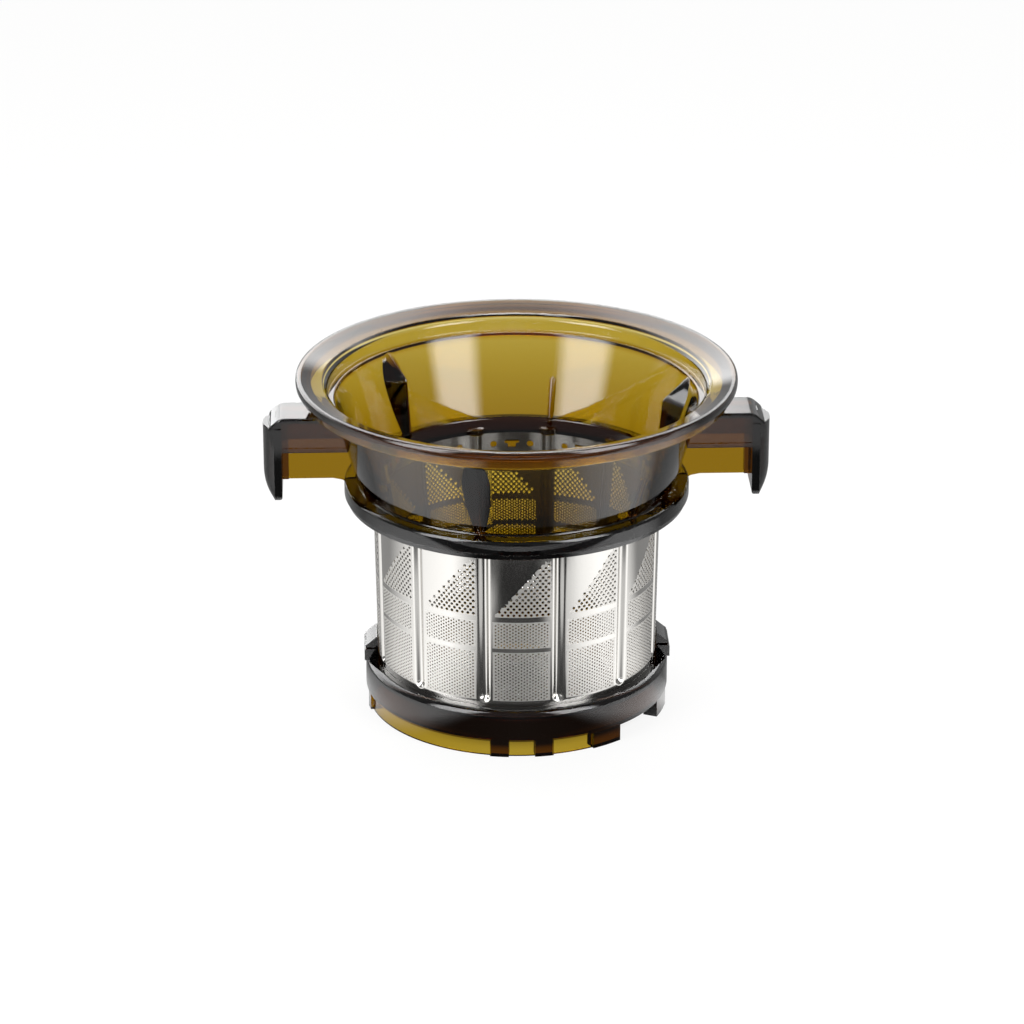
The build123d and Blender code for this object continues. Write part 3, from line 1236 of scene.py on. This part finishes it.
@dataclass(frozen=True)
class SoftBox:
    """One soft box, aimed at the strainer; angles in degrees from the front towards +X, sizes in metres.

    Its light fades towards its two upright edges, over soft_edge of its width.
    """

    name: str
    azimuth: float
    elevation: float
    distance: float
    width: float
    height: float
    radiance: float
    soft_edge: float = 0.3

    def build(self, aim: Vector) -> None:
        """Hangs the box.

        Args:
            aim: point that it faces, in metres.
        """
        lamp = bpy.data.lights.new(self.name, "AREA")
        lamp.shape = "RECTANGLE"
        lamp.size, lamp.size_y = self.width, self.height
        lamp.energy = self.radiance * math.pi * self.width * self.height
        lamp.use_nodes = True
        tree = lamp.node_tree
        tree.nodes.clear()
        across = add_node(tree, "ShaderNodeNewGeometry")
        parts = add_node(tree, "ShaderNodeSeparateXYZ", {"Vector": across.outputs["Parametric"]})
        edge = add_node(tree, "ShaderNodeMath", {0: parts.outputs["X"]}, operation="PINGPONG")
        edge.inputs[1].default_value = 0.5
        fade = Fade(0.0, self.soft_edge, 0.0, 1.0).add(tree, edge.outputs[0])
        glow = add_node(tree, "ShaderNodeEmission", {"Strength": fade})
        add_node(tree, "ShaderNodeOutputLight", {"Surface": glow.outputs["Emission"]})
        thing = bpy.data.objects.new(self.name, lamp)
        turn, tilt = math.radians(self.azimuth), math.radians(self.elevation)
        away = Vector((math.sin(turn) * math.cos(tilt), -math.cos(turn) * math.cos(tilt), math.sin(tilt)))
        thing.location = aim + away * self.distance
        thing.rotation_euler = away.to_track_quat("Z", "Y").to_euler()
        bpy.context.scene.collection.objects.link(thing)


@dataclass
class Studio:
    """Table, soft boxes, surround and camera.

    Polished sheet mirrors the table and the room. The table answers mirror rays with a painted reflection, an
    emission of bright and dark areas that nothing else sees, and the room answers them with bright and dark
    areas that also light the strainer. The camera sees both white, directly and through the plastic, but for
    a painted shadow on the table under the base. The stops of front_greys and side_greys are (place along Y
    in millimetres, grey), and those of turn_greys are (degrees from the front towards +X, grey). The room's
    fades follow the direction's parts along the axes, -1 to 1.
    """

    camera_distance: float = 1.25
    camera_height: float = 0.578
    aim_height: float = 0.063
    camera_turn: float = -2.0
    lens: float = 149.7
    axis_shift_px: float = 4.6
    table_reach: float = 420.0
    table_radiance: float = 1.8
    table_white: float = 0.88
    # Greys of the painted reflection that mirror rays see in the table.
    front_greys: tuple[Point, ...] = (
        (-420.0, 0.05), (-312.0, 0.05), (-292.0, 0.9), (-233.0, 0.9), (-224.0, 0.04), (-160.0, 0.02),
        (-136.0, 0.06), (-122.0, 0.12), (-96.0, 0.12), (-82.0, 0.06), (0.0, 0.06),
    )
    side_greys: tuple[Point, ...] = (
        (-420.0, 0.2), (-312.0, 0.2), (-292.0, 0.9), (-233.0, 0.9), (-222.0, 0.12), (-165.0, 0.12),
        (-145.0, 1.0), (0.0, 1.0),
    )
    turn_greys: tuple[Point, ...] = (
        (-180.0, 0.2), (-112.0, 0.2), (-94.0, 0.5), (-74.0, 0.8), (-48.0, 0.95), (-30.0, 0.45), (0.0, 0.7),
        (30.0, 0.45), (44.0, 0.8), (60.0, 0.95), (80.0, 0.85), (98.0, 0.18), (180.0, 0.2),
    )
    front_to_side: Fade = Fade(34 * MM, 56 * MM, 0.0, 1.0)
    # Painted shadow under the base: the table's white glow dims to 0.05 between 44 mm and 28 mm from the
    # axis.
    painted_shadow: Fade = Fade(28 * MM, 44 * MM, 0.05, 1.0)
    back_wall: Fade = Fade(0.1, 0.75, 0.0, 3.8)
    overhead: Fade = Fade(0.75, 0.92, 1.0, 0.25)
    wall_foot: Fade = Fade(0.25, 0.36, 0.1, 1.0)
    wall_lean: float = -0.35
    left_card: Fade = Fade(-0.32, -0.18, 0.8, 0.0)
    room_grey: float = 0.22
    boxes: tuple[SoftBox, ...] = (
        SoftBox("box_left", -50.0, 20.0, 0.8, 0.62, 1.1, 6.5),
        SoftBox("box_right", 42.0, 20.0, 0.8, 0.56, 1.1, 6.5),
        SoftBox("box_top", 180.0, 82.0, 0.8, 0.5, 0.4, 9.0),
    )

    def add_greys(
        self, tree: bpy.types.NodeTree, source: bpy.types.NodeSocket, stops: list[Point]
    ) -> bpy.types.NodeSocket:
        """Adds a ramp of greys to a node tree.

        Args:
            tree: node tree that takes it.
            source: socket of the value that it follows.
            stops: (value from 0 to 1, grey), in order.

        Returns:
            The socket that gives the grey.
        """
        node = add_node(tree, "ShaderNodeValToRGB", {"Fac": source})
        elements = node.color_ramp.elements
        while len(elements) < len(stops):
            elements.new(0.5)
        for element, (place, grey) in zip(elements, stops):
            element.position = place
            element.color = (grey, grey, grey, 1.0)
        return node.outputs["Color"]

    def seen_white(self, tree: bpy.types.NodeTree) -> bpy.types.NodeSocket:
        """Adds the test for rays that come from the camera or through the plastic.

        Args:
            tree: node tree that takes it.

        Returns:
            The socket that is 1 for such rays and 0 for others.
        """
        path = add_node(tree, "ShaderNodeLightPath")
        seen = add_node(
            tree, "ShaderNodeMath",
            {0: path.outputs["Is Camera Ray"], 1: path.outputs["Is Transmission Ray"]}, operation="MAXIMUM",
        )
        return seen.outputs[0]

    def painted_table_reflection(self, tree: bpy.types.NodeTree, place: bpy.types.NodeSocket) -> bpy.types.NodeSocket:
        """Adds the table's painted reflection for mirror rays: bright and dark areas in front and at the
        sides.

        Args:
            tree: the table's node tree.
            place: socket of the place on the table.

        Returns:
            The socket of its shader.
        """
        turn = add_node(tree, "ShaderNodeMapping", {"Vector": place}, Rotation=(0, 0, math.pi / 2))
        fan = add_node(
            tree, "ShaderNodeTexGradient", {"Vector": turn.outputs["Vector"]}, gradient_type="RADIAL",
        )
        stops = [(azimuth / 360 + 0.5, grey) for azimuth, grey in self.turn_greys]
        colour = self.add_greys(tree, fan.outputs["Fac"], stops)
        parts = add_node(tree, "ShaderNodeSeparateXYZ", {"Vector": place})
        aside = add_node(tree, "ShaderNodeMath", {0: parts.outputs["X"]}, operation="ABSOLUTE")
        ahead = add_node(
            tree, "ShaderNodeMapRange", {"Value": parts.outputs["Y"]},
            From_Min=-self.table_reach * MM, From_Max=0.0,
        )
        along = [
            [(1 + y / self.table_reach, grey) for y, grey in greys]
            for greys in (self.front_greys, self.side_greys)
        ]
        front, side = (self.add_greys(tree, ahead.outputs["Result"], stops) for stops in along)
        beside = self.front_to_side.add(tree, aside.outputs[0])
        level = add_node(tree, "ShaderNodeMix", {"Factor": beside, "A": front, "B": side}, data_type="FLOAT")
        strength = add_node(tree, "ShaderNodeMath", {0: level.outputs["Result"]}, operation="MULTIPLY")
        strength.inputs[1].default_value = self.table_radiance
        # Painted reflection: an emission with these greys, which only mirror rays reach.
        painted_reflection = add_node(tree, "ShaderNodeEmission", {"Color": colour, "Strength": strength.outputs[0]})
        return painted_reflection.outputs["Emission"]

    def table(self) -> bpy.types.Object:
        """Matt painted table that looks white, with a painted shadow under the base and a faint real shadow
        round it.

        Returns:
            The object.
        """
        material, tree = new_material("matt_painted_studio_table")
        place = add_node(tree, "ShaderNodeTexCoord").outputs["Object"]
        reach = add_node(tree, "ShaderNodeVectorMath", {0: place}, operation="LENGTH")
        matt = add_node(tree, "ShaderNodeBsdfDiffuse", Color=linear(Colour.TABLE.value))
        # Painted shadow: the table glows white for the camera and for rays through the plastic, and the glow
        # darkens under the base.
        glow = add_node(
            tree, "ShaderNodeEmission", {"Strength": self.painted_shadow.add(tree, reach.outputs["Value"])},
            Color=linear(Colour.WHITE.value),
        )
        share = add_node(tree, "ShaderNodeMath", {0: self.seen_white(tree)}, operation="MULTIPLY")
        share.inputs[1].default_value = self.table_white
        path = add_node(tree, "ShaderNodeLightPath")
        # Mirror rays see the painted reflection in place of the matt table.
        plain = add_node(
            tree, "ShaderNodeMixShader",
            {0: path.outputs["Is Glossy Ray"], 1: matt.outputs["BSDF"], 2: self.painted_table_reflection(tree, place)},
        )
        mix = add_node(
            tree, "ShaderNodeMixShader",
            {0: share.outputs[0], 1: plain.outputs["Shader"], 2: glow.outputs["Emission"]},
        )
        add_node(tree, "ShaderNodeOutputMaterial", {"Surface": mix.outputs["Shader"]})
        mesh = bmesh.new()
        bmesh.ops.create_circle(mesh, cap_ends=True, segments=96, radius=4000)
        thing = to_object(mesh, "studio_floor")
        thing.data.materials.append(material)
        thing.location.z = -0.02 * MM
        return thing

    def surround(self) -> None:
        """Room that looks white; in mirrors dark, with a slanting lit back wall and a card at its left."""
        world = bpy.data.worlds.new("studio_surround")
        world.use_nodes = True
        tree = world.node_tree
        tree.nodes.clear()
        bpy.context.scene.world = world
        place = add_node(tree, "ShaderNodeTexCoord")
        parts = add_node(tree, "ShaderNodeSeparateXYZ", {"Vector": place.outputs["Generated"]})
        back = self.back_wall.add(tree, parts.outputs["Y"])
        low = self.overhead.add(tree, parts.outputs["Z"])
        lean = add_node(tree, "ShaderNodeMath", {0: parts.outputs["X"]}, operation="MULTIPLY")
        lean.inputs[1].default_value = self.wall_lean
        slant = add_node(tree, "ShaderNodeMath", {0: parts.outputs["Z"], 1: lean.outputs[0]}, operation="ADD")
        high = self.wall_foot.add(tree, slant.outputs[0])
        left = self.left_card.add(tree, parts.outputs["X"])
        card = add_node(tree, "ShaderNodeMath", {0: high, 1: left}, operation="MAXIMUM")
        band = add_node(tree, "ShaderNodeMath", {0: low, 1: card.outputs[0]}, operation="MULTIPLY")
        wall = add_node(tree, "ShaderNodeMath", {0: back, 1: band.outputs[0]}, operation="MULTIPLY")
        dim = add_node(tree, "ShaderNodeMath", {0: wall.outputs[0]}, operation="ADD")
        dim.inputs[1].default_value = self.room_grey
        strength = add_node(
            tree, "ShaderNodeMix", {"Factor": self.seen_white(tree), "A": dim.outputs[0]}, data_type="FLOAT",
        )
        strength.inputs["B"].default_value = 1.0
        sky = add_node(
            tree, "ShaderNodeBackground", {"Strength": strength.outputs["Result"]},
            Color=linear(Colour.WHITE.value),
        )
        add_node(tree, "ShaderNodeOutputWorld", {"Surface": sky.outputs["Background"]})

    def camera(self) -> None:
        """Camera at the photograph's place, in front and above."""
        data = bpy.data.cameras.new("camera")
        data.lens, data.sensor_width = self.lens, 36.0
        data.shift_x = -self.axis_shift_px / PHOTO_WIDTH
        data.clip_end = 20.0
        thing = bpy.data.objects.new("camera", data)
        turn = math.radians(self.camera_turn)
        away = (math.sin(turn), -math.cos(turn))
        thing.location = (self.camera_distance * away[0], self.camera_distance * away[1], self.camera_height)
        aim = Vector((0, 0, self.aim_height))
        thing.rotation_euler = (thing.location - aim).to_track_quat("Z", "Y").to_euler()
        bpy.context.scene.collection.objects.link(thing)
        bpy.context.scene.camera = thing

    def build(self) -> None:
        """Sets up everything that isn't the object."""
        bpy.context.scene.view_settings.view_transform = "Standard"
        self.table()
        self.surround()
        for box in self.boxes:
            box.build(Vector((0, 0, self.aim_height)))
        self.camera()


def main() -> None:
    """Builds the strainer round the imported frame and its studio."""
    logging.basicConfig(level=logging.INFO, format="%(name)s: %(message)s")
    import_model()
    amber = AmberPlastic().build()
    polished = PunchedSteel().build()
    punched = PunchedSteel("stainless_sheet_punched_field", roughness=0.48).build()
    dull = PunchedSteel("stainless_sheet_dull_inside", Colour.STEEL_INSIDE, roughness=0.38).build()
    Sleeve(polished, punched, dull).build()
    Hopper(amber).build()
    Base(amber).build()
    Studio().build()


if __name__ == "__main__":
    main()
